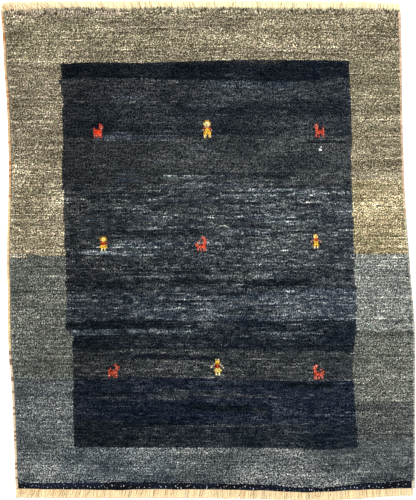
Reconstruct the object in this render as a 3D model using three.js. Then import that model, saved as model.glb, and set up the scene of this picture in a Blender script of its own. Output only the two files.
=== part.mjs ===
// A hand-knotted wool rug of the thick, small kind, lying flat with its pile up.
// Lengths are in millimetres. X runs across the rug, Y along it to the far end, and Z is up.
// The origin is on the surface that the rug lies on, under the middle of the rug's box.
// The rug's body is one cloth: the pile, and a thin flat-woven end past it at the near end.
// A wrapped binding runs along each long side, and a cut warp fringe ends the cloth at each end.

import * as THREE from 'three';

// Driving dimensions

const PILE_TOP = 12; // from the floor to the tips of the pile
const PILE_SIDE = 9; // the pile's height where it rounds over at the sides and the far end
const PILE_SHOULDER = 5; // how far in from its edge the pile reaches its full height
const PILE_LEAN = 2; // how far in the pile's near face climbs from its foot
const PILE_LUMP = 0.7; // how far the pile's top rises and falls
const END_WEAVE_HEIGHT = 4; // the flat-woven end, which has no pile

const BINDING_RADIUS = 3.5; // the wrapped side cord, measured to its flats
const BINDING_SIDES = 8;
const BINDING_STEPS = 60;

const FRINGE_STRANDS = 150; // at each end
const FRINGE_HEIGHT = 2.5;
const FRINGE_BACKING = 4; // the strip of twined weft that holds the strands
const STRAND_ROOT = 0.36; // half a strand's width at its root, as a share of the pitch
const STRAND_TIP = 0.25;
const STRAND_SWING = 3; // how far a tip leans sideways
const STRAND_RAGGED = 2.5; // how much shorter the shortest strand is

const PART_GAP = 0.3; // between neighbouring pieces
const BINDING_INSET = 0.6; // how far the side cords stop short of the fringes

const BODY_COLUMNS = 28;
const BODY_ROWS = 36;

// The outer edge of each side binding, from the near end to the far end.
const SIDES = [
  { y: -730, left: -574.5, right: 620.5 },
  { y: -648, left: -577, right: 622 },
  { y: -504, left: -582.5, right: 622 },
  { y: -408, left: -587, right: 622 },
  { y: -312, left: -595, right: 622 },
  { y: -216, left: -598, right: 620 },
  { y: -120, left: -598.5, right: 612 },
  { y: -48, left: -601, right: 606.5 },
  { y: 72, left: -599, right: 598 },
  { y: 168, left: -596, right: 591 },
  { y: 264, left: -595.5, right: 587.5 },
  { y: 360, left: -598, right: 584.5 },
  { y: 456, left: -602, right: 583 },
  { y: 552, left: -609, right: 582 },
  { y: 648, left: -613.5, right: 580 },
  { y: 730, left: -620, right: 578 },
];

// The near end from left to right: the fringe's tips, the flat-woven end's edge, the pile's foot.
const NEAR_END = [
  { x: -600, tip: -743, weave: -717, pile: -699 },
  { x: -440, tip: -744, weave: -719, pile: -699 },
  { x: -300, tip: -744.5, weave: -721, pile: -697 },
  { x: -150, tip: -744, weave: -719, pile: -698 },
  { x: 0, tip: -745, weave: -719.5, pile: -701 },
  { x: 150, tip: -747, weave: -722, pile: -702.5 },
  { x: 260, tip: -749.5, weave: -727, pile: -711 },
  { x: 370, tip: -749.5, weave: -726, pile: -711 },
  { x: 450, tip: -746.5, weave: -721, pile: -703.5 },
  { x: 530, tip: -740, weave: -718, pile: -697 },
  { x: 630, tip: -736, weave: -716, pile: -690 },
];

// The far end from left to right: the pile's edge and the fringe's tips.
const FAR_END = [
  { x: -630, pile: 715, tip: 737 },
  { x: -590, pile: 718, tip: 744.5 },
  { x: -448, pile: 724.5, tip: 747.5 },
  { x: -268, pile: 722, tip: 748.5 },
  { x: -98, pile: 726, tip: 749.5 },
  { x: 62, pile: 727, tip: 749.5 },
  { x: 202, pile: 726, tip: 749 },
  { x: 368, pile: 723, tip: 747 },
  { x: 472, pile: 724.5, tip: 746 },
  { x: 590, pile: 717, tip: 739 },
];

// The fringes' own ends, which stand a little past the bindings.
const NEAR_FRINGE = { left: -576, right: 619 };
const FAR_FRINGE = { left: -622, right: 579.5 };

// A smooth curve through one column of a table, read along another.
function columnCurve(table, along, column) {
  const last = table.length - 1;
  const slopeAt = (index) => {
    const before = table[Math.max(index - 1, 0)];
    const after = table[Math.min(index + 1, last)];
    return (after[column] - before[column]) / (after[along] - before[along]);
  };
  return (position) => {
    let index = 0;
    while (index < last - 1 && table[index + 1][along] < position) {
      index += 1;
    }
    const start = table[index];
    const end = table[index + 1];
    const span = end[along] - start[along];
    const t = THREE.MathUtils.clamp((position - start[along]) / span, 0, 1);
    const bend = t * t * (3 - 2 * t);
    const leave = t * (1 - t) * (1 - t) * span * slopeAt(index);
    const arrive = t * t * (t - 1) * span * slopeAt(index + 1);
    return THREE.MathUtils.lerp(start[column], end[column], bend) + leave + arrive;
  };
}

const leftEdge = columnCurve(SIDES, 'y', 'left');
const rightEdge = columnCurve(SIDES, 'y', 'right');
const nearTips = columnCurve(NEAR_END, 'x', 'tip');
const nearWeave = columnCurve(NEAR_END, 'x', 'weave');
const nearPile = columnCurve(NEAR_END, 'x', 'pile');
const farPile = columnCurve(FAR_END, 'x', 'pile');
const farTips = columnCurve(FAR_END, 'x', 'tip');

// A steady scatter from 0 to 1 for a numbered thing.
function scatter(number, salt) {
  const value = Math.sin(number * 12.9898 + salt * 78.233) * 43758.5453;
  return value - Math.floor(value);
}

function wool(color) {
  return new THREE.MeshStandardMaterial({ color, roughness: 0.95, metalness: 0 });
}

// The body

const BODY_INSET = 2 * BINDING_RADIUS + PART_GAP;

// Where a column of the body's grid crosses a given y.
function columnX(column, y) {
  const left = leftEdge(y) + BODY_INSET;
  const right = rightEdge(y) - BODY_INSET;
  if (column === 0) {
    return left;
  }
  if (column === BODY_COLUMNS) {
    return right;
  }
  const share = (column - 1) / (BODY_COLUMNS - 2);
  return THREE.MathUtils.lerp(left + PILE_SHOULDER, right - PILE_SHOULDER, share);
}

// Rows 0 and 1 bound the flat-woven end, row 2 is the pile's near brow, and the last is its far edge.
function rowY(row, x) {
  if (row === 0) {
    return nearWeave(x);
  }
  if (row === 1) {
    return nearPile(x);
  }
  if (row === BODY_ROWS) {
    return farPile(x);
  }
  const share = (row - 2) / (BODY_ROWS - 3);
  return THREE.MathUtils.lerp(nearPile(x) + PILE_LEAN, farPile(x) - PILE_SHOULDER, share);
}

// The plan position of a grid point. The sides lean a little, so y is found first at a rough x.
function bodyPlan(column, row) {
  const roughY = rowY(row, 0);
  const roughX = columnX(column, roughY);
  const y = rowY(row, roughX);
  return new THREE.Vector2(columnX(column, y), y);
}

// The pile stands in soft lumps, with low ridges along the rows of knots.
function pileLump(x, y) {
  const ridges = 0.5 * Math.sin(y / 13 + Math.sin(x / 170));
  const hollows = 0.5 * Math.sin(x / 41 + 0.6) * Math.sin(y / 53 + 1.1);
  return PILE_LUMP * (ridges + hollows);
}

function bodyHeight(column, row, plan) {
  if (row <= 1) {
    return END_WEAVE_HEIGHT;
  }
  const onRim = column === 0 || column === BODY_COLUMNS || row === BODY_ROWS;
  const height = onRim ? PILE_SIDE : PILE_TOP;
  return height + pileLump(plan.x, plan.y);
}

function rugBody() {
  const geometry = new THREE.BoxGeometry(1, 1, 1, BODY_COLUMNS, BODY_ROWS, 1);
  const points = geometry.attributes.position;
  for (let index = 0; index < points.count; index += 1) {
    const column = Math.round((points.getX(index) + 0.5) * BODY_COLUMNS);
    const row = Math.round((points.getY(index) + 0.5) * BODY_ROWS);
    const plan = bodyPlan(column, row);
    const height = points.getZ(index) > 0 ? bodyHeight(column, row, plan) : 0;
    points.setXYZ(index, plan.x, plan.y, height);
  }
  geometry.computeVertexNormals();
  const body = new THREE.Mesh(geometry, wool('#7b776b'));
  body.name = 'rug_body';
  return body;
}

// The side bindings

class BindingRoute extends THREE.Curve {
  constructor(edge, inward) {
    super();
    this.edge = edge;
    this.inward = inward;
    this.start = nearWeave(edge(SIDES[0].y)) + BINDING_INSET;
    this.end = farPile(edge(SIDES[SIDES.length - 1].y)) - BINDING_INSET;
  }

  getPoint(t, target = new THREE.Vector3()) {
    const y = THREE.MathUtils.lerp(this.start, this.end, t);
    return target.set(this.edge(y) + this.inward * BINDING_RADIUS, y, BINDING_RADIUS);
  }
}

// A many-sided round with a flat side down, measured to its flats.
function bindingSection() {
  const corner = BINDING_RADIUS / Math.cos(Math.PI / BINDING_SIDES);
  const points = [];
  for (let side = 0; side < BINDING_SIDES; side += 1) {
    const angle = ((side + 0.5) * 2 * Math.PI) / BINDING_SIDES;
    points.push(new THREE.Vector2(corner * Math.cos(angle), corner * Math.sin(angle)));
  }
  return new THREE.Shape(points);
}

function sideBinding(name, edge, inward, color) {
  const geometry = new THREE.ExtrudeGeometry(bindingSection(), {
    steps: BINDING_STEPS,
    extrudePath: new BindingRoute(edge, inward),
    bevelEnabled: false,
  });
  const binding = new THREE.Mesh(geometry, wool(color));
  binding.name = name;
  return binding;
}

// The fringes

// The strip's inner line keeps an even gap to the body's edge, point by point.
function backingLine(ends, row, outward, edgeAt) {
  const line = [new THREE.Vector2(ends.left, edgeAt(ends.left) + outward * PART_GAP)];
  for (let column = 0; column <= BODY_COLUMNS; column += 1) {
    const plan = bodyPlan(column, row);
    line.push(new THREE.Vector2(plan.x, plan.y + outward * PART_GAP));
  }
  line.push(new THREE.Vector2(ends.right, edgeAt(ends.right) + outward * PART_GAP));
  return line;
}

// The outline of one strand: two root corners and two tip corners, from left to right.
function strandOutline(number, ends, outward, edgeAt, tipAt) {
  const pitch = (ends.right - ends.left) / FRINGE_STRANDS;
  const rootX = ends.left + (number + 0.5) * pitch;
  const swing = STRAND_SWING * (Math.sin(number / 5.3 + outward) + Math.sin(number / 2.9)) * 0.5;
  const tipX = THREE.MathUtils.clamp(
    rootX + swing,
    ends.left + STRAND_TIP * pitch,
    ends.right - STRAND_TIP * pitch,
  );
  const rootY = edgeAt(rootX) + outward * (PART_GAP + FRINGE_BACKING);
  const tipY = tipAt(rootX) - outward * STRAND_RAGGED * scatter(number, outward);
  return [
    new THREE.Vector2(rootX - STRAND_ROOT * pitch, rootY),
    new THREE.Vector2(tipX - STRAND_TIP * pitch, tipY),
    new THREE.Vector2(tipX + STRAND_TIP * pitch, tipY),
    new THREE.Vector2(rootX + STRAND_ROOT * pitch, rootY),
  ];
}

function fringe(name, ends, row, outward, edgeAt, tipAt) {
  const innerLine = backingLine(ends, row, outward, edgeAt);
  const outerLine = [];
  for (let number = 0; number < FRINGE_STRANDS; number += 1) {
    outerLine.push(...strandOutline(number, ends, outward, edgeAt, tipAt));
  }
  const outline = new THREE.Shape([...innerLine, ...outerLine.reverse()]);
  const geometry = new THREE.ExtrudeGeometry(outline, {
    depth: FRINGE_HEIGHT,
    bevelEnabled: false,
  });
  const strands = new THREE.Mesh(geometry, wool('#efdcae'));
  strands.name = name;
  return strands;
}

// The rug, with its origin under the middle of its box

const rug = new THREE.Group();
rug.add(rugBody());
rug.add(sideBinding('binding_left', leftEdge, 1, '#b9824f'));
rug.add(sideBinding('binding_right', rightEdge, -1, '#c9a184'));
rug.add(fringe('fringe_near', NEAR_FRINGE, 0, -1, nearWeave, nearTips));
rug.add(fringe('fringe_far', FAR_FRINGE, BODY_ROWS, 1, farPile, farTips));

const middle = new THREE.Box3().setFromObject(rug).getCenter(new THREE.Vector3());
rug.position.set(-middle.x, -middle.y, 0);

export default rug;
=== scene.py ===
# The looks of a thick hand-knotted wool rug that lies flat with its pile up.
# Tables are in millimetres in the frame's axes: X across the rug, Y along it to its far end.
# Meshes are made in millimetres too, and turned to metres as they are finished.

import math

import bpy
import numpy as np
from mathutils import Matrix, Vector


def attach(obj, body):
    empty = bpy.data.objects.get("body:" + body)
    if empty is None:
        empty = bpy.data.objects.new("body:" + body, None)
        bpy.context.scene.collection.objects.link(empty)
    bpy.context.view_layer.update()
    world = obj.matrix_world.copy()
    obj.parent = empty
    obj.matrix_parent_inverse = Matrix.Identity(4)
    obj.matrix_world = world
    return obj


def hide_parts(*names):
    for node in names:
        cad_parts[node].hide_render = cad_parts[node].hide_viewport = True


MM = 0.001

# The rug's sizes

PILE_TOP = 12.0
PILE_LUMP = 0.7
GROUND_THICKNESS = 3.0
LEFT_BINDING_RADIUS = 4.6  # of the wrapped cord, a little more than the frame's cord
RIGHT_BINDING_RADIUS = 4.8
BINDING_FLATNESS = 0.75  # a cord's height, as a share of its width
BINDING_REACH = 7.0  # from the outline in to the cloth's side of each binding
BODY_INSET = 7.3  # from the binding's outer edge to the cloth's own edge

# The outer edge of each side binding, from the near end to the far end.
SIDES = [
    {"y": -730, "left": -574.5, "right": 620.5},
    {"y": -648, "left": -577, "right": 622},
    {"y": -504, "left": -582.5, "right": 622},
    {"y": -408, "left": -587, "right": 622},
    {"y": -312, "left": -595, "right": 622},
    {"y": -216, "left": -598, "right": 620},
    {"y": -120, "left": -598.5, "right": 612},
    {"y": -48, "left": -601, "right": 606.5},
    {"y": 72, "left": -599, "right": 598},
    {"y": 168, "left": -596, "right": 591},
    {"y": 264, "left": -595.5, "right": 587.5},
    {"y": 360, "left": -598, "right": 584.5},
    {"y": 456, "left": -602, "right": 583},
    {"y": 552, "left": -609, "right": 582},
    {"y": 648, "left": -613.5, "right": 580},
    {"y": 730, "left": -620, "right": 578},
]

# The near end from left to right: the fringe's tips, the flat-woven end's edge, the pile's foot.
NEAR_END = [
    {"x": -600, "tip": -743, "weave": -717, "pile": -699},
    {"x": -440, "tip": -744, "weave": -719, "pile": -699},
    {"x": -300, "tip": -744.5, "weave": -721, "pile": -697},
    {"x": -150, "tip": -744, "weave": -719, "pile": -698},
    {"x": 0, "tip": -745, "weave": -719.5, "pile": -701},
    {"x": 150, "tip": -747, "weave": -722, "pile": -702.5},
    {"x": 260, "tip": -749.5, "weave": -727, "pile": -711},
    {"x": 370, "tip": -749.5, "weave": -726, "pile": -711},
    {"x": 450, "tip": -746.5, "weave": -721, "pile": -703.5},
    {"x": 530, "tip": -740, "weave": -718, "pile": -697},
    {"x": 630, "tip": -736, "weave": -716, "pile": -690},
]

# The far end from left to right: the pile's edge and the fringe's tips.
FAR_END = [
    {"x": -630, "pile": 715, "tip": 737},
    {"x": -590, "pile": 718, "tip": 744.5},
    {"x": -448, "pile": 726, "tip": 747.5},
    {"x": -268, "pile": 724, "tip": 748.5},
    {"x": -98, "pile": 727, "tip": 749.5},
    {"x": 62, "pile": 726, "tip": 749.5},
    {"x": 202, "pile": 724.5, "tip": 749},
    {"x": 368, "pile": 723, "tip": 747},
    {"x": 472, "pile": 724.5, "tip": 746},
    {"x": 590, "pile": 717, "tip": 739},
]

# The two fringes. Lean and slant say how far the tips of the warp ends and of the loose threads
# lie to the right of their roots, at each x.
NEAR_FRINGE = {
    "left": -576,
    "right": 619,
    "lean": [(-600, -5), (0, -2), (600, 2)],
    "slant": [(-600, -10), (0, -5), (600, 1)],
    "crowding": 1.2,
    "yarns": ("warp_gold", "warp_gold"),
}
FAR_FRINGE = {
    "left": -622,
    "right": 579.5,
    "lean": [(-620, -1), (-580, -5), (-450, -5), (-200, -2), (100, 1), (580, 2)],
    "slant": [(-620, -7), (-570, -19), (-400, -18), (-200, -10), (100, -3), (580, 3)],
    "crowding": 1.9,
    "yarns": ("warp_sand", "warp_pale"),
}

# Where the dark field ends at its left and right. Each row holds from its y down to the next one's.
FIELD_SIDES = [
    {"y": 800, "left": -438, "right": 427},
    {"y": 510, "left": -444, "right": 427},
    {"y": 495, "left": -438, "right": 429},
    {"y": 465, "left": -434, "right": 433},
    {"y": 180, "left": -431, "right": 436},
    {"y": 90, "left": -427, "right": 439},
    {"y": -18, "left": -427, "right": 447},
    {"y": -30, "left": -425, "right": 442},
    {"y": -110, "left": -423, "right": 447},
    {"y": -240, "left": -413, "right": 450},
    {"y": -258, "left": -403, "right": 442},
    {"y": -290, "left": -403, "right": 438},
    {"y": -400, "left": -403, "right": 443},
    {"y": -470, "left": -401, "right": 447},
    {"y": -530, "left": -401, "right": 451},
]

# How far some rows of knots stray from straight, towards the far end, read from left to right.
# ROW_HEIGHTS says where each of these rows would lie if it were straight.
ROW_BENDS = [
    {"x": -440, "far": -9, "dark": 0, "crest": 0, "pale": -9, "middle": -3, "low": 0, "near": 3},
    {"x": -330, "far": -4, "dark": 1, "crest": 0, "pale": -7, "middle": -4, "low": 1, "near": 2},
    {"x": -204, "far": -6, "dark": 1, "crest": 0, "pale": -5, "middle": -6, "low": 4, "near": 1.5},
    {"x": -42, "far": -1, "dark": 0, "crest": 0, "pale": -1, "middle": -3, "low": 1, "near": 1.5},
    {"x": 117, "far": 4, "dark": -1, "crest": 0, "pale": 3, "middle": 0, "low": -2, "near": 0},
    {"x": 204, "far": 3, "dark": -4, "crest": 0, "pale": 4.5, "middle": 2, "low": -3, "near": -1},
    {"x": 350, "far": 2, "dark": 5, "crest": 0, "pale": 8, "middle": 6, "low": -3, "near": -5},
    {"x": 440, "far": 0, "dark": 0, "crest": 0, "pale": 8, "middle": 4, "low": -3, "near": -1},
]
ROW_HEIGHTS = {
    "near": -597,
    "low": -306,
    "middle": -18,
    "pale": 83,
    "crest": 144,
    "dark": 516,
    "far": 566,
}

# Yarns, as they look on the rug, in parts of 255

YARNS = {
    "pale_khaki": (156, 146, 122),
    "khaki": (146, 138, 114),
    "dull_khaki": (133, 124, 104),
    "pale_honey": (179, 166, 132),
    "mauve": (162, 148, 128),
    "moss_grey": (117, 120, 112),
    "sage": (105, 108, 101),
    "dark_sage": (87, 90, 88),
    "stone": (142, 146, 140),
    "ash": (101, 106, 107),
    "steel_ash": (84, 92, 97),
    "ink": (27, 32, 39),
    "night": (37, 43, 50),
    "navy": (35, 42, 54),
    "midnight": (44, 49, 54),
    "dusk": (51, 56, 61),
    "iron": (56, 60, 64),
    "charcoal": (62, 66, 68),
    "slate": (64, 69, 73),
    "blue_slate": (63, 71, 80),
    "umber_grey": (64, 67, 70),
    "steel": (75, 82, 89),
    "pale_steel": (86, 94, 100),
    "pearl": (102, 111, 117),
    "soot": (43, 48, 52),
    "flame": (232, 70, 40),
    "coral": (212, 94, 70),
    "bright_coral": (224, 92, 60),
    "rust_coral": (192, 80, 56),
    "dark_flame": (146, 42, 28),
    "brick": (180, 72, 56),
    "dark_gold": (166, 124, 40),
    "lemon": (238, 216, 122),
    "rose": (214, 126, 110),
    "gold": (250, 200, 72),
    "pale_gold": (254, 236, 168),
    "blouse": (196, 86, 46),
    "skin": (206, 158, 138),
    "cream": (246, 230, 178),
    "white": (250, 248, 240),
    "tan": (172, 143, 108),
    "old_gold": (179, 156, 119),
    "honey_gold": (194, 171, 129),
    "dull_tan": (180, 163, 137),
    "salmon": (196, 169, 143),
    "rose_tan": (180, 148, 122),
    "bone": (182, 168, 149),
    "putty": (172, 165, 152),
    "rust": (150, 100, 58),
    "bark": (118, 94, 72),
    "warp_gold": (247, 226, 178),
    "warp_sand": (246, 232, 190),
    "warp_pale": (252, 247, 202),
    "warp_tan": (208, 166, 112),
    "end_navy": (22, 28, 42),
    "end_ink": (10, 9, 11),
    "end_fleck": (150, 152, 160),
}

# Broad bands of yarn in the field: the height where each starts, and its yarn.
FIELD_BANDS = [
    (800, "ink"),
    (510, "iron"),
    (440, "midnight"),
    (340, "charcoal"),
    (190, "slate"),
    (-60, "dusk"),
    (-120, "steel"),
    (-210, "night"),
    (-300, "charcoal"),
    (-390, "navy"),
    (-520, "night"),
]

# Streaks of other yarn, laid by chance: their highest and lowest y, how many, and their yarns.
STREAK_ZONES = [
    (500, 240, 12, ("blue_slate", "steel", "soot", "ink")),
    (240, -20, 46, ("pearl", "pale_steel", "steel", "midnight", "dusk")),
    (-20, -300, 46, ("pale_steel", "steel", "slate", "ink", "soot")),
    (-300, -570, 26, ("slate", "umber_grey", "ink", "navy")),
]

# Broad patches of other yarn in the border: y, left end, right end, rows and yarn.
BORDER_PATCHES = [
    (712, -600, -250, 6, "mauve"),
    (672, -310, 150, 10, "dull_khaki"),
    (590, -430, 430, 6, "dull_khaki"),
    (-652, -450, -95, 24, "steel_ash"),
]

# Broad bands down the border's left side. Across the rug they give way to the right side's.
LEFT_BANDS = [
    (800, "khaki"),
    (570, "dull_khaki"),
    (270, "pale_khaki"),
    (-15, "sage"),
    (-390, "ash"),
]

# Broad bands down the border's right side.
RIGHT_BANDS = [
    (800, "pale_khaki"),
    (570, "khaki"),
    (360, "pale_khaki"),
    (210, "pale_honey"),
    (-15, "stone"),
    (-240, "moss_grey"),
    (-450, "dark_sage"),
    (-570, "ash"),
]

# The bindings' wraps, each zone from its y down to the next one's: its yarn and its flecks' yarn.
LEFT_WRAPS = [
    (800, "tan", "rust"),
    (150, "honey_gold", "old_gold"),
    (-300, "dull_tan", "bark"),
]
RIGHT_WRAPS = [
    (800, "salmon", "rose_tan"),
    (90, "putty", "bone"),
]
FLECK_SHARE = 0.3

# How far the tips of the pile's right rim lean out over the binding, at each y.
RIGHT_OVERHANG = [(-730, 8.0), (-300, 9.0), (20, 9.0), (80, 6.5), (600, 5.5), (730, 2.5)]
OVERHANG_COLUMNS = 11

# How the field's brightness changes across it.
FIELD_ACROSS = [(-430, 0.78), (0, 1.05), (430, 1.15)]

# How streaky the field is at each height.
FIELD_STREAKINESS = [(-600, 1.0), (-230, 1.1), (-160, 1.2), (170, 1.3), (230, 0.6), (560, 0.85)]

# How patchy the border is at each height, and how much its knots differ.
BORDER_PATCHINESS = [(-590, 2.2), (-560, 1.0), (560, 1.0), (600, 0.7)]
BORDER_SPECKLE = [(-590, 1.05), (-30, 1.0), (0, 0.86), (560, 0.86), (600, 1.0)]

# Small figures, charted row by row from enlarged views of the photograph, at its own scale.
# A sign is one knot, and the first line is the far one. The goats face right, and O is the coat.
CHART_YARNS = {
    "d": "dark_flame",
    "r": "brick",
    "p": "rose",
    "g": "dark_gold",
    "Y": "gold",
    "l": "lemon",
    "y": "pale_gold",
    "R": "blouse",
    "s": "skin",
    "c": "cream",
    "w": "white",
}
GOAT = (
    "....d..",
    "....rr.",
    "....rpr",
    "r...rpp",
    "rddddp.",
    "rOOOOO.",
    "rOOOOr.",
    "rOOOOr.",
    "prprpr.",
    "r.r.rr.",
)
KID = (
    "....rp.",
    "....ppr",
    "r...Op.",
    "p...OO.",
    "OdddOO.",
    "OOOOOr.",
    "OOdOOr.",
    "pr.r.p.",
    "r..r.r.",
)
HORNED_GOAT = (
    "....pp..",
    "....dpp.",
    ".....Opr",
    ".rp..OO.",
    "r....OO.",
    "OpdddOO.",
    "OOOOOOd.",
    ".OpdOOr.",
    ".p.p.pp.",
    ".r.r.pr.",
)
LEAPING_GOAT = (
    "....dr..",
    ".....pOr",
    ".r...pO.",
    ".r...OO.",
    "O.dOdO..",
    "OdOOpO..",
    "OOdOOr..",
    "p.r.rp..",
    "r..r.r..",
)
WOMAN = (
    "..ggg..",
    ".gyyyg.",
    ".yyyyy.",
    ".gyyyg.",
    "..sss..",
    ".rRYRr.",
    "s.YYY.s",
    ".gYYYg.",
    ".YYYYY.",
    ".YYgYY.",
    ".yy.yy.",
    ".cg.gc.",
)
GIRL = (
    "..ggg..",
    ".gYyYg.",
    ".gyYyg.",
    "..gYg..",
    ".dRRRd.",
    "..dRd..",
    ".gYYYg.",
    ".YYYYY.",
    "..ygy..",
    "..c.c..",
)
CHILD = (
    "..gyg..",
    "..yYy..",
    "..yYy..",
    "..RRR..",
    ".sRRRs.",
    "s.YYY.s",
    "..YYY..",
    ".gYYYg.",
    "..ygy..",
    "..c.c..",
)
DANCER = (
    "...y.y...",
    "...YlY...",
    "...YYY...",
    "..cgRgc..",
    ".c.dRd.c.",
    "c..dRd..c",
    "...lll...",
    "..lllll..",
    "..glllg..",
    "...c.c...",
    "...c.c...",
)
FLECK = (
    ".w",
    "w.",
    "ww",
)
FIGURES = [
    {"chart": GOAT, "x": -326, "y": 357, "coat": "flame"},
    {"chart": WOMAN, "x": -2, "y": 364},
    {"chart": KID, "x": 336, "y": 360, "coat": "coral", "flip": True},
    {"chart": FLECK, "x": 338, "y": 304},
    {"chart": GIRL, "x": -312, "y": 16},
    {"chart": HORNED_GOAT, "x": -19, "y": 17, "coat": "bright_coral"},
    {"chart": CHILD, "x": 324, "y": 25},
    {"chart": LEAPING_GOAT, "x": -280, "y": -364, "coat": "rust_coral"},
    {"chart": DANCER, "x": 30, "y": -352},
    {"chart": HORNED_GOAT, "x": 334, "y": -365, "coat": "coral", "flip": True},
]

# Knots, strands and wraps

PILE_NEAR = -702  # the pile's near and far rows, if they were straight
PILE_FAR = 723
KNOT_ROWS = 320
KNOT_COLUMNS = 268
ROW_PITCH = (PILE_FAR - PILE_NEAR) / KNOT_ROWS
PILE_INSET = 7.2
NEAR_SET_BACK = 0.5  # how far the near row stands inside the pile's edge, which its tufts reach
FAR_SET_BACK = 5.0
DARK_TIP_ROWS = 4  # rows at the far end where some of the tufts are dark
DARK_TIP_SHARE = 0.3
DARK_TIP_SHADE = 0.55
EDGE_REACH = 30  # how far in from both ends the rows bend to meet the pile's uneven edge
KNOT_STRAY = 1.1  # how far a knot may stand from its place, and a figure's knot
FIGURE_STRAY = 0.3
PILE_STRIPS = ("pile_near", "pile_near_middle", "pile_middle", "pile_far_middle", "pile_far")
TUFT_RADIUS = 2.9
TUFT_WIDEST = 0.66  # the height of a tuft's widest part, as a share of the tuft
TUFT_ROOT_DEPTH = 1.0  # how deep in the ground weave a tuft starts
# The rise also sets the painted shade between the tufts: the yarn is painted darker towards each
# root.
TUFT_RISE = np.array([0.0, 0.55, 0.55, 0.55, 0.55, 1.0])  # of its root, belly points and tip
BELLY_LEAN = 0.55  # how much of the tip's lean and of its overhang the widest part has
BELLY_HANG = 0.45
STRANDS = 420
STRAND_RADIUS = 1.8
LOOSE_THREADS = 120
FRINGE_TUCK = 1.5  # how far the warp ends start inside the cloth's edge
ROOT_TINT = np.array([0.96, 0.93, 0.92])  # the warp ends' colour at the cloth, as a share
STRAND_RINGS = 8
STRAND_SIDES = 8
WRAP_PITCH = 3.0
RINGS_A_WRAP = 4
WRAP_SIDES = 10
WRAP_SWELLS = (0.94, 1.04)  # the thinnest and the thickest wrap, as shares
WRAP_TONES = (0.92, 1.06)
BINDING_GAP = 0.6  # how far inside the cloth's ends a binding stops
GROUND_COLUMNS = 91
GROUND_ROWS = 111
# The ground is painted darker than the pile's yarn, as shade in the gaps between the tufts.
GROUND_PAINTED_SHADE = 0.8
END_WEFTS = 12
END_TUCK = 8  # how far the flat-woven end goes in under the pile
PLY_DEPTH = 0.2  # how deep the groove between a strand's two plies is, as a share

# Tone

LIGHT_ON_PILE = 0.94  # how bright a white pile would look, as a share of full
LIGHT_ON_FRINGE = 1.30
PALEST_DYE = 0.9
STREAK_STRENGTH = 0.85
STREAK_FADE = 15  # how far in from its ends a streak has its full strength
STREAK_LENGTHS = (60, 280)  # the shortest and the longest
STREAK_ROWS = (1, 1, 1, 2, 2, 3, 4)  # one of these is drawn for each streak
STREAK_REACH = 435  # how far left and right of the middle the streaks reach
STREAK_SEED = 8
BORDER_BLEND = 430  # the left bands give way to the right ones from -430 to 430
BAND_WAVER = 2.5  # how far the bands' edges stray, over runs of some knots
BAND_WAVER_RUN = 40

# How much the tone varies, as spreads: along rows over long and short runs, in patches, and
# from knot to knot.
FIELD_SPREADS = {"long": 0.09, "short": 0.20, "patch": 0.11, "knot": 0.22}
BORDER_SPREADS = {"long": 0.10, "short": 0.09, "patch": 0.07, "knot": 0.17}
FIGURE_SPREAD = 0.10
FIGURE_SHARE = 0.88  # fuller tufts look brighter, so their yarn is a little darker
TINT_SPREAD = 0.014
PALER_HUE = np.array([1.035, 1.0, 0.92])  # what a paler knot gains in red, green and blue

# How far apart the random values of each layer of tone are: rows, and knots along a row.
LONG_RUN = (1, 37)
SHORT_RUN = (1, 3.5)
PATCH_RUNS = ((9, 20), (23, 31))
PATCH_LIMIT = 1.8

# How much the strands within one knot differ in tone.
FIELD_MIXTURE = 0.2
BORDER_MIXTURE = 0.8

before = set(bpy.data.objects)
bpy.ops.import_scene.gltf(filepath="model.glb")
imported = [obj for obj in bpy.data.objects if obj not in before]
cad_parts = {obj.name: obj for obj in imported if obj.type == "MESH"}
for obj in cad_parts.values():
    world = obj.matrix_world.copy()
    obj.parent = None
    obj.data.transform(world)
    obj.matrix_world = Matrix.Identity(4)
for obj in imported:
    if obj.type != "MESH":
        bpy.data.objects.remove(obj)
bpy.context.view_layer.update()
rng = np.random.default_rng(21)


# Curves and places


def column_curve(table, along, column):
    """A smooth curve through one column of a table, read along another, for an array of places."""
    places = np.array([row[along] for row in table], float)
    values = np.array([row[column] for row in table], float)
    before = np.maximum(np.arange(len(places)) - 1, 0)
    after = np.minimum(np.arange(len(places)) + 1, len(places) - 1)
    slopes = (values[after] - values[before]) / (places[after] - places[before])

    def curve(at):
        at = np.asarray(at, float)
        index = np.clip(np.searchsorted(places, at) - 1, 0, len(places) - 2)
        span = places[index + 1] - places[index]
        t = np.clip((at - places[index]) / span, 0, 1)
        bend = eased(t)
        leave = t * (1 - t) ** 2 * span * slopes[index]
        arrive = t * t * (t - 1) * span * slopes[index + 1]
        return values[index] * (1 - bend) + values[index + 1] * bend + leave + arrive

    return curve


left_edge = column_curve(SIDES, "y", "left")
right_edge = column_curve(SIDES, "y", "right")
near_tips = column_curve(NEAR_END, "x", "tip")
near_weave = column_curve(NEAR_END, "x", "weave")
near_pile = column_curve(NEAR_END, "x", "pile")
far_pile = column_curve(FAR_END, "x", "pile")
far_tips = column_curve(FAR_END, "x", "tip")


def lerp(start, end, share):
    return start + (end - start) * share


def eased(share):
    """A share from 0 to 1 that leaves 0 and reaches 1 softly."""
    return share * share * (3 - 2 * share)


def read_off(table, at):
    """The value at each place, from a table of places and values."""
    return np.interp(at, *zip(*table))


def cloth_places(columns, rows, inset, near_edge, far_edge):
    """Plan positions over the cloth for shares of its width and length, as two arrays of rows."""
    across, along = np.meshgrid(columns, rows)
    rough_y = lerp(near_edge(0), far_edge(0), along)
    rough_x = lerp(left_edge(rough_y), right_edge(rough_y), across)
    y = lerp(near_edge(rough_x), far_edge(rough_x), along)
    x = lerp(left_edge(y) + inset, right_edge(y) - inset, across)
    return x, y


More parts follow.
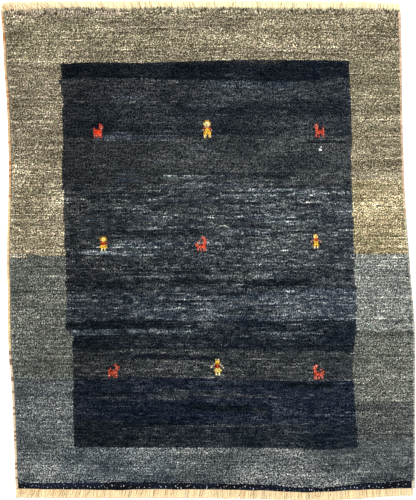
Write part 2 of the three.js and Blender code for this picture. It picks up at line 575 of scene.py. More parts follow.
def row_bend(x, height):
    """How far the rows of knots at these heights stray from straight, at each place across."""
    names = sorted(ROW_HEIGHTS, key=ROW_HEIGHTS.get)
    heights = np.array([PILE_NEAR, *(ROW_HEIGHTS[name] for name in names), PILE_FAR], float)
    inner = [column_curve(ROW_BENDS, "x", name)(x) for name in names]
    bends = np.stack([near_pile(x) - PILE_NEAR, *inner, far_pile(x) - PILE_FAR])
    index = np.clip(np.searchsorted(heights, height) - 1, 0, len(heights) - 2)
    share = (height - heights[index]) / (heights[index + 1] - heights[index])
    start = np.take_along_axis(bends, index[None], 0)[0]
    end = np.take_along_axis(bends, index[None] + 1, 0)[0]
    return lerp(start, end, share)


def pile_lump(x, y):
    """The pile's soft lumps, with low ridges along the rows of knots, as in the frame."""
    ridges = 0.5 * np.sin(y / 13 + np.sin(x / 170))
    hollows = 0.5 * np.sin(x / 41 + 0.6) * np.sin(y / 53 + 1.1)
    return PILE_LUMP * (ridges + hollows)


# Colours


def look(name):
    return np.array(YARNS[name], float) / 255


def as_dye(colour, light=LIGHT_ON_PILE):
    """The linear colour that a yarn needs to look like this in the rug's light."""
    colour = np.clip(colour, 0, 1)
    linear = np.where(colour <= 0.04045, colour / 12.92, ((colour + 0.055) / 1.055) ** 2.4)
    dye = linear / light
    excess = np.maximum(dye.max(-1, keepdims=True) / PALEST_DYE, 1)
    return np.maximum(dye / excess, 0.001)


def banded(y, bands):
    """The look of the yarn at each y, from a chart of bands that runs from the far end."""
    starts = -np.array([start for start, _ in bands], float)
    looks = np.array([look(name) for _, name in bands])
    return looks[np.searchsorted(starts, -y, side="right") - 1]


def in_field(x, height):
    starts = -np.array([row["y"] for row in FIELD_SIDES], float)
    row = np.searchsorted(starts, -height, side="right") - 1
    left = np.array([r["left"] for r in FIELD_SIDES], float)[row]
    right = np.array([r["right"] for r in FIELD_SIDES], float)[row]
    inside = (height < ROW_HEIGHTS["far"]) & (height > ROW_HEIGHTS["near"])
    return inside & (x > left) & (x < right)


def smooth_steps(count, stretch):
    """For each place in a run, the two knots of a coarse run that it lies between, and its share."""
    at = np.arange(count) / stretch
    index = at.astype(int)
    share = at - index
    return index, eased(share)


def noise(shape, rows_apart, columns_apart):
    """Smooth noise with a spread of 1, made from random values some rows and columns apart."""
    row, row_share = smooth_steps(shape[0], rows_apart)
    column, column_share = smooth_steps(shape[1], columns_apart)
    values = rng.normal(0, 1, (row[-1] + 2, column[-1] + 2))
    near = lerp(values[row][:, column], values[row][:, column + 1], column_share)
    far = lerp(values[row + 1][:, column], values[row + 1][:, column + 1], column_share)
    smooth = lerp(near, far, row_share[:, None])
    return smooth / smooth.std()


def spread_tone(shape):
    """The layers of the tone's noise, by name."""
    patch = sum(noise(shape, *run) for run in PATCH_RUNS)
    return {
        "long": noise(shape, *LONG_RUN),
        "short": noise(shape, *SHORT_RUN),
        "patch": np.clip(patch / patch.std(), -PATCH_LIMIT, PATCH_LIMIT),
        "knot": np.clip(1.5 - rng.gamma(2.25, 1 / 1.5, shape), -2.4, 1.5),
    }


def toned(looks, tone):
    """The looks made paler or darker. Paler knots are greyer, not stronger in colour."""
    brightness = looks.mean(-1, keepdims=True)
    return np.maximum(looks + brightness * (tone[..., None] - 1) * PALER_HUE, 0)


def mixed_tone(layers, spreads):
    drift = sum(spreads[name] * layers[name] for name in ("long", "short", "patch"))
    return np.exp(drift - drift.var() / 2) * (1 + spreads["knot"] * layers["knot"])


def lay_streaks(looks, streaks, x, height):
    """Lays streaks of other yarn over the bands."""
    for streak_height, start, end, rows, yarn in streaks:
        within = np.clip(np.minimum(x - start, end - x) / STREAK_FADE, 0, 1)
        within = within * (np.abs(height - streak_height) < rows * ROW_PITCH / 2)
        looks = lerp(looks, look(yarn), STREAK_STRENGTH * within[..., None])
    return looks


def chance_streaks():
    """Streaks for the field at places drawn by chance."""
    draw = np.random.default_rng(STREAK_SEED)
    streaks = []
    for highest, lowest, count, yarns in STREAK_ZONES:
        for _ in range(count):
            length = draw.uniform(*STREAK_LENGTHS)
            start = draw.uniform(-STREAK_REACH, STREAK_REACH - length)
            streak_height = draw.uniform(lowest, highest)
            rows = draw.choice(STREAK_ROWS)
            yarn = yarns[draw.integers(len(yarns))]
            streaks.append((streak_height, start, start + length, rows, yarn))
    return streaks


def border_looks(x, band_height, height):
    """The look of the border's yarn, before its tone."""
    side = eased(np.clip((x + BORDER_BLEND) / (2 * BORDER_BLEND), 0, 1))[..., None]
    looks = lerp(banded(band_height, LEFT_BANDS), banded(band_height, RIGHT_BANDS), side)
    return lay_streaks(looks, BORDER_PATCHES, x, height)


def field_looks(x, band_height, height):
    """The look of the field's yarn, before its tone."""
    looks = banded(band_height, FIELD_BANDS) * read_off(FIELD_ACROSS, x)[..., None]
    return lay_streaks(looks, chance_streaks(), x, height)


def yarn_looks(x, height):
    """The look of the yarn at each knot, before the figures go in."""
    field = in_field(x, height)
    layers = spread_tone(x.shape)
    streakiness = read_off(FIELD_STREAKINESS, height)
    band_height = height + BAND_WAVER * noise(x.shape, 1, BAND_WAVER_RUN)
    field_look = field_looks(x, band_height, height)
    border_look = border_looks(x, band_height, height)
    patch = layers["patch"] * read_off(BORDER_PATCHINESS, height)
    knot = layers["knot"] * read_off(BORDER_SPECKLE, height)
    border_tone = mixed_tone({**layers, "patch": patch, "knot": knot}, BORDER_SPREADS)
    layers["long"] = layers["long"] * streakiness
    layers["short"] = layers["short"] * streakiness
    field_tone = mixed_tone(layers, FIELD_SPREADS)
    tint = 1 + rng.normal(0, TINT_SPREAD, (*x.shape, 3))
    tone = np.where(field, field_tone, border_tone)
    return toned(np.where(field[..., None], field_look, border_look), tone) * tint


def knit_figures(looks, x, y):
    """Puts the charted figures into the knots, and says which knots are theirs."""
    taken = np.zeros(x.shape, bool)
    for figure in FIGURES:
        chart = figure["chart"]
        width = len(chart[0])
        first_x = figure["x"] - (width - 1) / 2 * ROW_PITCH
        first_y = figure["y"] + (len(chart) - 1) / 2 * ROW_PITCH
        distance = (x - first_x) ** 2 + (y - first_y) ** 2
        row, column = np.unravel_index(distance.argmin(), x.shape)
        yarns = {**CHART_YARNS, "O": figure.get("coat")}
        for line_number, line in enumerate(chart):
            signs = line[::-1] if figure.get("flip") else line
            for place, sign in enumerate(signs):
                if sign == ".":
                    continue
                knot = (row - line_number, column + place)
                tone = FIGURE_SHARE * math.exp(rng.normal(0, FIGURE_SPREAD))
                looks[knot] = look(yarns[sign]) * tone
                taken[knot] = True
    return taken


# Meshes


def make_piece(name, points, faces, material, dye, rise, mixture=None, uv=None):
    """A smooth mesh piece. Its points are in millimetres, and the rest has a value for each."""
    mesh = bpy.data.meshes.new(name)
    mesh.from_pydata((points * MM).tolist(), [], faces)
    mesh.shade_smooth()
    colour = mesh.color_attributes.new("dye", "FLOAT_COLOR", "POINT")
    rgba = np.ones((len(points), 4), np.float32)
    rgba[:, :3] = dye
    colour.data.foreach_set("color", rgba.ravel())
    for title, values in (("rise", rise), ("mixture", mixture)):
        if values is not None:
            layer = mesh.attributes.new(title, "FLOAT", "POINT")
            layer.data.foreach_set("value", np.asarray(values, np.float32).ravel())
    if uv is not None:
        layer = mesh.uv_layers.new(name="OFBake")
        layer.data.foreach_set("uv", np.asarray(uv, np.float32).ravel())
    mesh.materials.append(material)
    piece = bpy.data.objects.new(name, mesh)
    bpy.context.scene.collection.objects.link(piece)
    return piece


def sheet_faces(rows, columns):
    """Faces of a closed sheet between an upper and a lower grid of points."""
    index = np.arange(rows * columns).reshape(rows, columns)
    corners = (index[:-1, :-1], index[:-1, 1:], index[1:, 1:], index[1:, :-1])
    upper = np.stack(corners, -1).reshape(-1, 4)
    lower = upper[:, ::-1] + rows * columns
    rim = np.concatenate([index[0], index[1:, -1], index[-1, -2::-1], index[-2:0:-1, 0]])
    after = np.roll(rim, -1)
    wall = np.stack([rim, rim + rows * columns, after + rows * columns, after], 1)
    return np.concatenate([upper, lower, wall]).tolist()


def tube_faces(tubes, rings, sides):
    """Faces of closed tubes, each of some rings of points, with a flat cap at both ends."""
    index = np.arange(tubes * rings * sides).reshape(tubes, rings, sides)
    after = np.roll(index, -1, axis=2)
    corners = (index[:, :-1], after[:, :-1], after[:, 1:], index[:, 1:])
    walls = np.stack(corners, -1).reshape(-1, 4).tolist()
    starts = index[:, 0, ::-1].tolist()
    ends = index[:, -1].tolist()
    return walls + starts + ends


# Materials


def attribute(nodes, name, output):
    node = nodes.new("ShaderNodeAttribute")
    node.attribute_name = name
    return node.outputs[output]


def maths(nodes, links, operation, first, second):
    """The result of a sum on two sockets or numbers."""
    node = nodes.new("ShaderNodeMath")
    node.operation = operation
    for value, socket in zip((first, second), node.inputs):
        if isinstance(value, float):
            socket.default_value = value
        else:
            links.new(value, socket)
    return node.outputs["Value"]


def grain(nodes, links, size):
    """Noise from -1 to 1 whose grain has this width, depth and length in millimetres."""
    place = nodes.new("ShaderNodeTexCoord")
    stretch = nodes.new("ShaderNodeVectorMath")
    stretch.operation = "MULTIPLY"
    stretch.inputs[1].default_value = [1 / (side * MM) for side in size]
    links.new(place.outputs["Object"], stretch.inputs[0])
    noise_node = nodes.new("ShaderNodeTexNoise")
    noise_node.inputs["Scale"].default_value = 1.0
    noise_node.inputs["Detail"].default_value = 2.0
    links.new(stretch.outputs["Vector"], noise_node.inputs["Vector"])
    spread = nodes.new("ShaderNodeMapRange")
    spread.inputs["From Min"].default_value = 0.3
    spread.inputs["From Max"].default_value = 0.7
    spread.inputs["To Min"].default_value = -1.0
    spread.inputs["To Max"].default_value = 1.0
    links.new(noise_node.outputs["Fac"], spread.inputs["Value"])
    return spread.outputs["Result"]


def varied(nodes, links, tone, noise_socket, strength):
    """The tone made lighter and darker by a noise that runs from -1 to 1."""
    change = maths(nodes, links, "MULTIPLY", noise_socket, strength)
    return maths(nodes, links, "MULTIPLY", tone, maths(nodes, links, "ADD", change, 1.0))


def yarn_material(name, fibre, painted_hollow_shade, contrast, sheen, strand=None):
    """Matt yarn: its dye, with painted shade that darkens it where its rise is low (towards a tuft's
    root, in grooves and between ridges), with fibres and perhaps strands of a size.
    """
    material = bpy.data.materials.new(name)
    material.use_nodes = True
    nodes = material.node_tree.nodes
    links = material.node_tree.links
    shader = nodes["Principled BSDF"]
    shader.inputs["Roughness"].default_value = 0.93
    shader.inputs["Specular IOR Level"].default_value = 0.0
    shader.inputs["Sheen Weight"].default_value = sheen
    shader.inputs["Sheen Roughness"].default_value = 0.6

    # Painted shade: the dye goes from painted_hollow_shade where the rise is 0 to full where the rise
    # is 1.
    shade = nodes.new("ShaderNodeMapRange")
    shade.inputs["To Min"].default_value = painted_hollow_shade
    shade.inputs["To Max"].default_value = 1.0
    links.new(attribute(nodes, "rise", "Fac"), shade.inputs["Value"])

    fibres = grain(nodes, links, fibre)
    tone = varied(nodes, links, shade.outputs["Result"], fibres, contrast)
    if strand is not None:
        strands = grain(nodes, links, strand)
        tone = varied(nodes, links, tone, strands, attribute(nodes, "mixture", "Fac"))

    tinted = nodes.new("ShaderNodeVectorMath")
    tinted.operation = "SCALE"
    links.new(attribute(nodes, "dye", "Color"), tinted.inputs[0])
    links.new(tone, tinted.inputs["Scale"])
    links.new(tinted.outputs["Vector"], shader.inputs["Base Color"])

    relief = nodes.new("ShaderNodeBump")
    relief.inputs["Strength"].default_value = 0.5
    relief.inputs["Distance"].default_value = 0.25 * MM
    links.new(fibres, relief.inputs["Height"])
    links.new(relief.outputs["Normal"], shader.inputs["Normal"])
    return material


# Each material's third value is how dark its painted shade gets where the rise is 0: at a tuft's
# root, in a groove, or between ridges.
pile_wool = yarn_material(
    "pile_wool", (0.7, 0.7, 4.0), 0.30, contrast=0.3, sheen=0.0, strand=(3.0, 2.6, 16.0)
)
ground_wool = yarn_material("ground_wool", (2.0, 1.0, 1.0), 0.80, contrast=0.25, sheen=0.0)
end_wool = yarn_material("end_wool", (1.0, 0.5, 0.8), 0.50, contrast=0.35, sheen=0.02)
binding_wool = yarn_material("binding_wool", (1.6, 0.35, 1.6), 0.55, contrast=0.28, sheen=0.1)
warp_yarn = yarn_material("warp_yarn", (0.45, 2.5, 0.45), 0.82, contrast=0.16, sheen=0.08)


# The pile


def pile_knots():
    """Where each knot stands, and the look of its yarn."""
    across = (np.arange(KNOT_COLUMNS) + 0.5) / KNOT_COLUMNS
    heights = PILE_NEAR + (np.arange(KNOT_ROWS) + 0.5) * ROW_PITCH
    across, height = np.meshgrid(across, heights)
    rough_x = lerp(left_edge(height), right_edge(height), across)
    y = height + row_bend(rough_x, height)
    to_near_edge = np.clip((PILE_NEAR + EDGE_REACH - height) / EDGE_REACH, 0, 1)
    ripple = 1.1 * np.sin(rough_x / 37 + 2) + 0.9 * np.sin(rough_x / 15)
    to_far_edge = np.clip((height - PILE_FAR + EDGE_REACH) / EDGE_REACH, 0, 1)
    y = y + to_near_edge * (NEAR_SET_BACK + ripple) - to_far_edge * (FAR_SET_BACK + ripple)
    x = lerp(left_edge(y) + PILE_INSET, right_edge(y) - PILE_INSET, across)
    looks = yarn_looks(x, height)
    figures = knit_figures(looks, x, y)
    edge_rows = looks[-DARK_TIP_ROWS:]
    edge_rows[rng.random(edge_rows.shape[:2]) < DARK_TIP_SHARE] *= DARK_TIP_SHADE
    stray = np.where(figures, FIGURE_STRAY, KNOT_STRAY)
    x = x + stray * rng.uniform(-1, 1, x.shape)
    y = y + stray * rng.uniform(-1, 1, x.shape)
    mixture = np.where(in_field(x, height), FIELD_MIXTURE, BORDER_MIXTURE)
    mixture[figures] = 0.0
    return x, y, looks, mixture, figures


def rim_shares(shape):
    """How close each knot is to the left, right, near and far rims, from 0 inside to 1 at the rim."""
    rows, columns = np.indices(shape)
    last_row = shape[0] - 1
    last_column = shape[1] - 1

    def share(steps, reach):
        return np.clip(1 - steps / reach, 0, 1)

    left = share(columns, 2)
    right = share(last_column - columns, 2)
    overhang = share(last_column - columns, OVERHANG_COLUMNS)
    near = share(rows, 2)
    far = share(last_row - rows, 5)
    return left, right, near, far, overhang


def tuft_points(x, y, figures):
    """The root, four belly points and tip of each tuft."""
    left, right, near, far, overhang = rim_shares(x.shape)
    rim = np.maximum.reduce([left, right, near, far])
    top = PILE_TOP + pile_lump(x, y) + rng.normal(0, 0.5, x.shape) - 2.5 * rim**2 - 2 * far
    lean_x = rng.normal(0, 0.9 + 1.2 * far) + 1.2 * right + 2.2 * left
    hang = overhang * read_off(RIGHT_OVERHANG, y)
    lean_y = rng.normal(0, 0.9 + 1.3 * far) + 0.8 + 9.0 * far - 2.8 * near
    radius = np.where(figures, 1.2, rng.uniform(0.8, 1.15, x.shape)) * TUFT_RADIUS
    turn = rng.uniform(0, math.pi / 2, x.shape)
    root = GROUND_THICKNESS - TUFT_ROOT_DEPTH
    belly = lerp(root, top, TUFT_WIDEST)
    points = np.empty((*x.shape, 6, 3))
    points[..., 0, :] = np.stack([x, y, np.full(x.shape, root)], -1)
    for side in range(4):
        angle = turn + side * math.pi / 2
        bulge = radius * rng.uniform(0.85, 1.15, x.shape)
        belly_x = x + BELLY_LEAN * lean_x + BELLY_HANG * hang
        belly_x = belly_x + bulge * (1 - 0.3 * far) * np.cos(angle)
        belly_y = y + BELLY_LEAN * lean_y + bulge * (1 + 0.5 * far) * np.sin(angle)
        belly_z = belly + rng.normal(0, 0.4, x.shape)
        points[..., 1 + side, :] = np.stack([belly_x, belly_y, belly_z], -1)
    points[..., 5, :] = np.stack([x + lean_x + hang, y + lean_y, top], -1)
    return points


TUFT_FACES = np.array(
    [
        [5, 1, 2],
        [5, 2, 3],
        [5, 3, 4],
        [5, 4, 1],
        [0, 2, 1],
        [0, 3, 2],
        [0, 4, 3],
        [0, 1, 4],
    ]
)

# Each tuft's bake map is a square: its tip in the middle, its belly points at the middles of the
# sides, and its root at the four corners.
TUFT_MAP = np.array(
    [
        [(0.5, 0.5), (1, 0.5), (0.5, 1)],
        [(0.5, 0.5), (0.5, 1), (0, 0.5)],
        [(0.5, 0.5), (0, 0.5), (0.5, 0)],
        [(0.5, 0.5), (0.5, 0), (1, 0.5)],
        [(1, 1), (0.5, 1), (1, 0.5)],
        [(0, 1), (0, 0.5), (0.5, 1)],
        [(0, 0), (0.5, 0), (0, 0.5)],
        [(1, 0), (1, 0.5), (0.5, 0)],
    ],
    float,
)
TUFT_MAP_MARGIN = 0.06


def tuft_maps(count):
    """Bake map corners for many tufts, in a square of squares."""
    across = math.ceil(math.sqrt(count))
    number = np.arange(count)
    corner = np.stack([number % across, number // across], 1)
    inner = TUFT_MAP_MARGIN + TUFT_MAP * (1 - 2 * TUFT_MAP_MARGIN)
    return (corner[:, None, None, :] + inner[None]) / across


def make_pile():
    x, y, looks, mixture, figures = pile_knots()
    points = tuft_points(x, y, figures)
    dyes = as_dye(looks)
    strips = []
    rows_a_strip = KNOT_ROWS // len(PILE_STRIPS)
    for number, name in enumerate(PILE_STRIPS):
        rows = slice(number * rows_a_strip, (number + 1) * rows_a_strip)
        tufts = points[rows].reshape(-1, 6, 3)
        count = len(tufts)
        faces = (TUFT_FACES[None] + 6 * np.arange(count)[:, None, None]).reshape(-1, 3)
        dye = np.repeat(dyes[rows].reshape(-1, 3), 6, axis=0)
        strip = make_piece(
            name,
            tufts.reshape(-1, 3),
            faces.tolist(),
            pile_wool,
            dye,
            np.tile(TUFT_RISE, count),
            np.repeat(mixture[rows], 6),
            tuft_maps(count),
        )
        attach(strip, "root")
        strips.append(strip)
    return strips


# The ground weave under the pile, which is the rug's sheet of cloth


def make_ground():
    """The cloth under the pile, and its flat area in square metres."""
    columns = np.linspace(0, 1, GROUND_COLUMNS)
    rows = np.linspace(0, 1, GROUND_ROWS)
    x, y = cloth_places(columns, rows, BODY_INSET, near_weave, far_pile)
    top = np.full(x.shape, GROUND_THICKNESS)
    upper = np.stack([x, y, top], -1).reshape(-1, 3)
    lower = upper * (1, 1, 0)
    # The ground's yarn is darkened here as painted shade for the gaps between the tufts.
    dye = as_dye(yarn_looks(x, y) * GROUND_PAINTED_SHADE).reshape(-1, 3)
    ground = make_piece(
        "ground_weave",
        np.concatenate([upper, lower]),
        sheet_faces(*x.shape),
        ground_wool,
        np.concatenate([dye, dye]),
        np.ones(2 * x.size),
    )
    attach(ground, "root")
    widths = (x[:, -1] - x[:, 0]) * MM
    length = (y[-1] - y[0]).mean() * MM
    return ground, widths.mean() * length


# The flat-woven end


def end_edge(x):
    """The flat-woven end's own outer edge, which waves a little."""
    return near_weave(x) + 1.0 * np.sin(x / 31 + 1) + 0.7 * np.sin(x / 12.7)


def end_inner(x):
    """Where the flat-woven end goes in under the pile."""
    return near_pile(x) + END_TUCK


def make_end_weave():
    """Close navy wefts that go over and under the warps."""
    columns = np.linspace(0, 1, KNOT_COLUMNS + 1)
    rows = np.linspace(0, 1, 2 * END_WEFTS + 1)
    x, y = cloth_places(columns, rows, BODY_INSET - 0.5, end_edge, end_inner)
    row, column = np.indices(x.shape)
    over = np.where((row // 2 + column) % 2 == 0, 1.0, -1.0)
    ridge = np.where(row % 2 == 1, 1.0, 0.0)
    top = GROUND_THICKNESS + 0.4 + ridge * (0.5 + 0.25 * over) + rng.normal(0, 0.08, x.shape)
    top[0] = GROUND_THICKNESS - 0.2
    upper = np.stack([x, y, top], -1).reshape(-1, 3)
    lower = np.stack([x, y, np.full(x.shape, GROUND_THICKNESS - 1.5)], -1).reshape(-1, 3)
    drift = 0.5 + 0.35 * noise(x.shape, 6, 16)
    dark = np.clip(drift + rng.uniform(-0.4, 0.4, x.shape), 0, 1)[..., None]
    looks = look("end_navy") * (1 - dark) + look("end_ink") * dark
    dye = as_dye(looks).reshape(-1, 3)
    # The ridge share goes in as the rise, so the yarn is painted with shade between the weft ridges,
    # and the underside gets the full painted shade.
    weave = make_piece(
        "end_weave",
        np.concatenate([upper, lower]),
        sheet_faces(*x.shape),
        end_wool,
        np.concatenate([dye, dye]),
        np.concatenate([ridge.ravel(), np.zeros(x.size)]),
    )
    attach(weave, "root")
    return weave


FLECK_SIDES = 8
FLECK_RINGS = 6


def make_end_flecks():
    """Short pale floats of yarn over the flat-woven end, most of them near its outer edge."""
    outer = np.arange(-560, 606, 11.5)
    inner = np.arange(-550, 606, 29.0)
    x = np.concatenate([outer, inner])
    x = x + rng.uniform(-5.5, 5.5, len(x))
    depth = np.concatenate([np.full(len(outer), 0.36), np.full(len(inner), 0.72)])
    depth = depth + rng.uniform(-0.2, 0.2, len(x))
    y = lerp(near_weave(x), near_pile(x), depth)
    slant = rng.uniform(-0.5, 0.5, len(x))
    half_length = rng.uniform(1.0, 2.4, len(x))
    along = np.cos(np.linspace(math.pi, 0, FLECK_RINGS))
    girth = np.sqrt(np.clip(1 - along**2, 0.04, 1))
    centre = np.empty((len(x), FLECK_RINGS, 3))
    centre[..., 0] = x[:, None] + half_length[:, None] * along * np.sin(slant)[:, None]
    centre[..., 1] = y[:, None] + half_length[:, None] * along * np.cos(slant)[:, None]
    centre[..., 2] = GROUND_THICKNESS + 1.1
    angle = np.arange(FLECK_SIDES) * 2 * math.pi / FLECK_SIDES
    points = centre[:, :, None, :] + np.stack(
        [
            1.1 * girth[:, None] * np.cos(angle),
            np.zeros((FLECK_RINGS, FLECK_SIDES)),
            0.9 * girth[:, None] * np.sin(angle),
        ],
        -1,
    )
    tone = np.concatenate([rng.uniform(0.5, 1.4, len(outer)), rng.uniform(0.35, 0.9, len(inner))])
    dye = as_dye(look("end_fleck") * tone[:, None])
    each = FLECK_RINGS * FLECK_SIDES
    flecks = make_piece(
        "end_flecks",
        points.reshape(-1, 3),
        tube_faces(len(x), FLECK_RINGS, FLECK_SIDES),
        end_wool,
        np.repeat(dye, each, axis=0),
        np.ones(len(x) * each),
    )
    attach(flecks, "root")
    return flecks


# The wrapped side bindings


def wrap_looks(wraps, y):
    """The look of each wrap: its zone's yarn, or now and then the zone's flecks."""
    plain = banded(y, [(start, yarn) for start, yarn, _ in wraps])
    flecks = banded(y, [(start, yarn) for start, _, yarn in wraps])
    flecked = np.repeat(rng.random(len(y) // 2 + 1) < FLECK_SHARE, 2)[: len(y)]
    chosen = np.where(flecked[:, None], flecks, plain)
    return chosen * rng.uniform(*WRAP_TONES, (len(y), 1))


def make_binding(name, node, edge, inward, thickness, wraps):
    """A cord of wrapped yarn: each wrap is a ridge that slants round it, in its own look."""
    start = float(near_weave(edge(-730))) + BINDING_GAP
    end = float(far_pile(edge(730))) - BINDING_GAP
    count = round((end - start) / WRAP_PITCH)
    rings = count * RINGS_A_WRAP + 1
    y = np.linspace(start, end, rings)
    x = edge(y) + inward * (BINDING_REACH - thickness)
    angle = np.arange(WRAP_SIDES) * 2 * math.pi / WRAP_SIDES
    turns = np.arange(rings)[:, None] / RINGS_A_WRAP + angle[None] / (2 * math.pi)
    wrap = np.floor(turns).astype(int)
    swell = rng.uniform(*WRAP_SWELLS, count + 2)[wrap]
    groove = np.abs(np.sin(math.pi * turns))
    radius = thickness * swell * (0.93 + 0.07 * groove)
    points = np.empty((rings, WRAP_SIDES, 3))
    points[..., 0] = x[:, None] + radius * np.cos(angle)
    points[..., 1] = y[:, None]
    points[..., 2] = BINDING_FLATNESS * np.maximum(thickness + radius * np.sin(angle), 0)
    looks = wrap_looks(wraps, np.linspace(start, end, count + 2))
    # The groove share goes in as the rise, so the yarn is painted with shade in the grooves between
    # the wraps.
    binding = make_piece(
        name,
        points.reshape(-1, 3),
        tube_faces(1, rings, WRAP_SIDES),
        binding_wool,
        as_dye(looks)[wrap].reshape(-1, 3),
        groove.ravel(),
    )
    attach(binding, "root")
    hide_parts(node)
    return binding


# The fringes


def strand_points(root, tip, height, radius, twist_turns):
    """Rings of points along strands that run from root to tip, each of two twisted plies."""
    count = len(root)
    share = np.linspace(0, 1, STRAND_RINGS)
    bow = rng.normal(0, 0.5, count)
    centre = np.empty((count, STRAND_RINGS, 3))
    centre[..., 0] = lerp(root[:, :1], tip[:, :1], share**1.3)
    centre[..., 0] += bow[:, None] * np.sin(math.pi * share)
    centre[..., 1] = lerp(root[:, 1:], tip[:, 1:], share)
    centre[..., 2] = height[:, None] * np.interp(share, [0, 0.25, 1], [0.45, 1, 1])
    angle = np.arange(STRAND_SIDES) * 2 * math.pi / STRAND_SIDES
    twist = 2 * math.pi * twist_turns * share[None] + rng.uniform(0, math.pi, count)[:, None]
    lobes = 1 + PLY_DEPTH * np.cos(2 * (angle[None, None] - twist[..., None]))
    girth = np.interp(share, [0, 0.2, 0.9, 1], [0.7, 1.0, 1.0, 0.8])[None, :, None]
    reach = lobes * girth * radius[:, None, None]
    inward = np.sign(root[:, 1] - tip[:, 1])[:, None, None]
    points = np.empty((count, STRAND_RINGS, STRAND_SIDES, 3))
    points[..., 0] = centre[..., None, 0] + inward * reach * np.cos(angle)
    points[..., 1] = centre[..., None, 1]
    points[..., 2] = np.maximum(centre[..., None, 2] + reach * np.sin(angle), 0)
    # The groove share is 0 in the grooves between the plies and 1 on their crests; it is used for
    # painted shade there.
    groove = np.clip((lobes - (1 - PLY_DEPTH)) / (2 * PLY_DEPTH), 0, 1) * np.ones(points.shape[:3])
    return points, groove


def warp_ends(ends, outward, edge_at, tip_at):
    """The close row of cut warp ends."""
    pitch = (ends["right"] - ends["left"]) / STRANDS
    root_x = ends["left"] + (np.arange(STRANDS) + 0.5) * pitch
    root_x = root_x + rng.uniform(-0.15, 0.15, STRANDS) * pitch
    clump = noise((1, STRANDS), 1, 7)[0]
    tip_x = root_x + read_off(ends["lean"], root_x) + clump + rng.normal(0, 0.7, STRANDS)
    tip_x = np.clip(tip_x, ends["left"] + 1.5, ends["right"] - 1.5)
    tip_y = tip_at(root_x) + outward * rng.uniform(0.4, 2.8, STRANDS)
    root = np.stack([root_x, edge_at(root_x) - outward * FRINGE_TUCK], 1)
    height = STRAND_RADIUS + np.tile([0.0, 0.9], STRANDS)[:STRANDS]
    radius = STRAND_RADIUS * rng.uniform(0.94, 1.1, STRANDS)
    return strand_points(root, np.stack([tip_x, tip_y], 1), height, radius, 1.3)


def loose_threads(ends, outward, edge_at, tip_at):
    """Thin threads that lie slanted over the warp ends, crowded towards the left."""
    share = rng.random(LOOSE_THREADS) ** ends["crowding"]
    root_x = lerp(ends["left"] + 14, ends["right"] - 14, share)
    tip_x = root_x + read_off(ends["slant"], root_x) + rng.normal(0, 2.5, LOOSE_THREADS)
    tip_x = np.clip(tip_x, ends["left"] + 1, ends["right"] - 1)
    length = rng.uniform(0.6, 1.0, LOOSE_THREADS)
    root_y = edge_at(root_x) - outward * 1.0
    tip_y = lerp(root_y, tip_at(tip_x), length)
    root = np.stack([root_x, root_y], 1)
    height = np.full(LOOSE_THREADS, 2 * STRAND_RADIUS + 0.9)
    radius = rng.uniform(0.3, 0.65, LOOSE_THREADS)
    return strand_points(root, np.stack([tip_x, tip_y], 1), height, radius, 0.5)


def make_fringe(name, node, ends, outward, edge_at, tip_at):
    """Cut warp ends that come out of the cloth and lie on the floor, with loose threads on them."""
    row, row_groove = warp_ends(ends, outward, edge_at, tip_at)
    loose, loose_groove = loose_threads(ends, outward, edge_at, tip_at)
    across = np.linspace(0, 1, len(row))[:, None]
    left_look, right_look = (look(yarn) for yarn in ends["yarns"])
    row_looks = lerp(left_look, right_look, np.minimum(2 * across, 1))
    row_looks = row_looks * rng.uniform(0.92, 1.03, (len(row), 1))
    loose_looks = look("warp_tan") * rng.uniform(0.85, 1.12, (len(loose), 1))
    along = np.linspace(0, 1, STRAND_RINGS)[:, None]
    looks = np.concatenate([row_looks, loose_looks])[:, None] * lerp(ROOT_TINT, 1, along)
    dye = as_dye(looks, light=LIGHT_ON_FRINGE).reshape(-1, 3)
    points = np.concatenate([row, loose])
    # The ply grooves go in as the rise, so the yarn is painted with shade in them.
    fringe = make_piece(
        name,
        points.reshape(-1, 3),
        tube_faces(len(points), STRAND_RINGS, STRAND_SIDES),
        warp_yarn,
        np.repeat(dye, STRAND_SIDES, axis=0),
        np.concatenate([row_groove, loose_groove]).ravel(),
    )
    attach(fringe, "root")
    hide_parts(node)
    return fringe


# The floor, the light and the camera


FLOOR_REACH = 4.0
FLOOR_PAINT = (0.93, 0.93, 0.93, 1)
SKY_STRENGTH = 1.45
LAMP_SIZE = 3.0
LAMP_POWER = 470
LAMP_PLACE = (-2.6, 3.2, 5.5)
PHOTO_HEIGHT = 500  # in pixels
PHOTO_SCALE = 3.0  # millimetres to a pixel
CAMERA_HEIGHT = 5.0
CAMERA_SHIFT = 2.0  # how far right of the rug's middle it hangs, in millimetres
SENSOR_WIDTH = 36.0


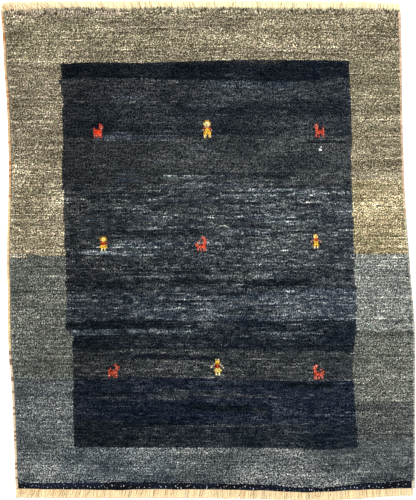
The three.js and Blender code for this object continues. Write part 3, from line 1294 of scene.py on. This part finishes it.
def make_floor():
    mesh = bpy.data.meshes.new("floor")
    signs = [(-1, -1), (1, -1), (1, 1), (-1, 1)]
    corners = [(FLOOR_REACH * across, FLOOR_REACH * along, 0) for across, along in signs]
    mesh.from_pydata(corners, [], [(0, 1, 2, 3)])
    material = bpy.data.materials.new("floor_paint")
    material.use_nodes = True
    shader = material.node_tree.nodes["Principled BSDF"]
    shader.inputs["Base Color"].default_value = FLOOR_PAINT
    shader.inputs["Roughness"].default_value = 1.0
    shader.inputs["Specular IOR Level"].default_value = 0.0
    mesh.materials.append(material)
    floor = bpy.data.objects.new("floor", mesh)
    bpy.context.scene.collection.objects.link(floor)


def make_light():
    world = bpy.data.worlds.new("studio")
    world.use_nodes = True
    world.node_tree.nodes["Background"].inputs["Color"].default_value = (1, 1, 1, 1)
    world.node_tree.nodes["Background"].inputs["Strength"].default_value = SKY_STRENGTH
    bpy.context.scene.world = world
    lamp = bpy.data.lights.new("soft_box", "AREA")
    lamp.shape = "DISK"
    lamp.size = LAMP_SIZE
    lamp.energy = LAMP_POWER
    soft_box = bpy.data.objects.new("soft_box", lamp)
    soft_box.location = LAMP_PLACE
    soft_box.rotation_euler = (-soft_box.location).to_track_quat("-Z", "Y").to_euler()
    bpy.context.scene.collection.objects.link(soft_box)


def make_camera():
    """Straight above the rug, at the photograph's own scale."""
    frame_height = PHOTO_HEIGHT * PHOTO_SCALE * MM
    data = bpy.data.cameras.new("camera")
    data.sensor_fit = "AUTO"
    data.sensor_width = SENSOR_WIDTH
    data.lens = SENSOR_WIDTH * CAMERA_HEIGHT / frame_height
    camera = bpy.data.objects.new("camera", data)
    camera.location = (CAMERA_SHIFT * MM, 0, CAMERA_HEIGHT + PILE_TOP * MM)
    camera.rotation_euler = (0, 0, 0)
    bpy.context.scene.collection.objects.link(camera)
    bpy.context.scene.camera = camera


make_camera()
make_light()
make_floor()
bpy.context.scene.view_settings.view_transform = "Standard"

pile = make_pile()
ground, ground_area = make_ground()
end_weave = make_end_weave()
end_flecks = make_end_flecks()
bindings = [
    make_binding(
        "wrapped_edge_left",
        "binding_left",
        left_edge,
        1,
        LEFT_BINDING_RADIUS,
        LEFT_WRAPS,
    ),
    make_binding(
        "wrapped_edge_right",
        "binding_right",
        right_edge,
        -1,
        RIGHT_BINDING_RADIUS,
        RIGHT_WRAPS,
    ),
]
fringes = [
    make_fringe("warp_ends_near", "fringe_near", NEAR_FRINGE, -1, near_weave, near_tips),
    make_fringe("warp_ends_far", "fringe_far", FAR_FRINGE, 1, far_pile, far_tips),
]

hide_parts("rug_body")
